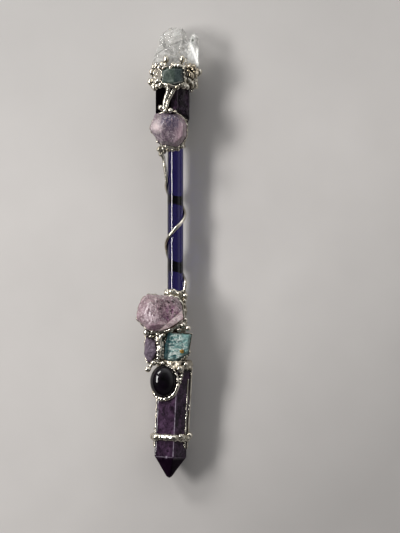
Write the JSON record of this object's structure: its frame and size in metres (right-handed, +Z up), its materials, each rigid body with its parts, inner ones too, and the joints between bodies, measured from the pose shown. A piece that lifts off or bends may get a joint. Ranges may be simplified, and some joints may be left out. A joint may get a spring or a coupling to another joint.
{
  "type": "crystal magic wand",
  "caption": "Slim magic wand: dark glass rod between dark crystal sections, clear quartz finial, rough stones and an oval cabochon held by lumpy bright solder, with a wire spiral.",
  "frame": {"origin": "on the surface that the wand lies on, under the centre of its box", "axes": "+Y along the rod towards the clear quartz finial, +Z up from the surface towards the stones' faces, +X to the right of the stones seen from the front"},
  "size_m": [0.0345, 0.2403, 0.026],
  "materials": {
    "cobalt_glass": "gloss",
    "dark_amethyst": "polished",
    "clear_quartz": "natural fracture faces",
    "lilac_amethyst": "rough cut, translucent",
    "rose_amethyst": "rough cut, translucent",
    "green_stone": "polished",
    "grey_purple_stone": "matte, rough",
    "teal_stone": "silvery mottled, polished",
    "black_stone": "high polish",
    "solder": "poured tin solder, lumpy and bright",
    "copper_foil": "satin",
    "resin": "satin",
    "gold_fleck": "satin"
  },
  "bodies": {
    "root": {"glass_rod": "cobalt_glass", "point_crystal": "dark_amethyst", "upper_crystal": "dark_amethyst", "quartz_main": "clear_quartz", "quartz_side": "clear_quartz", "crown_collar": "solder", "crown_core": "resin", "crown_prongs": "solder", "crown_granules": "solder", "crown_wing": "solder", "green_stone": "green_stone", "green_stone_bezel": "solder", "rosette_base": "solder", "rosette_coil": "solder", "stem_left": "solder", "stem_right": "solder", "stem_beads": "solder", "lilac_stone": "lilac_amethyst", "lilac_stone_bezel": "solder", "lilac_stone_beads": "solder", "upper_boot": "solder", "upper_foil_sleeve": "copper_foil", "wire_knot": "solder", "spiral_wire": "solder", "lower_foil_sleeve": "copper_foil", "lower_collar": "solder", "lower_collar_balls": "solder", "rose_stone": "rose_amethyst", "rose_stone_bezel": "solder", "rose_stone_prongs": "solder", "rose_solder_cluster": "solder", "small_stone": "grey_purple_stone", "small_stone_bezel": "solder", "teal_stone": "teal_stone", "teal_stone_bezel": "solder", "gold_fleck": "gold_fleck", "divider_ridge": "solder", "stone_saddle": "solder", "point_cap_plate": "solder", "cabochon": "black_stone", "cabochon_cup": "solder", "cabochon_solder": "solder", "cabochon_bead_strip": "solder", "large_balls": "solder", "left_edge_strip": "solder", "right_inner_wire": "solder", "right_outer_wire": "solder", "tip_band": "solder", "band_knobs": "solder", "band_rest_pad": "solder"}
  },
  "joints": []
}
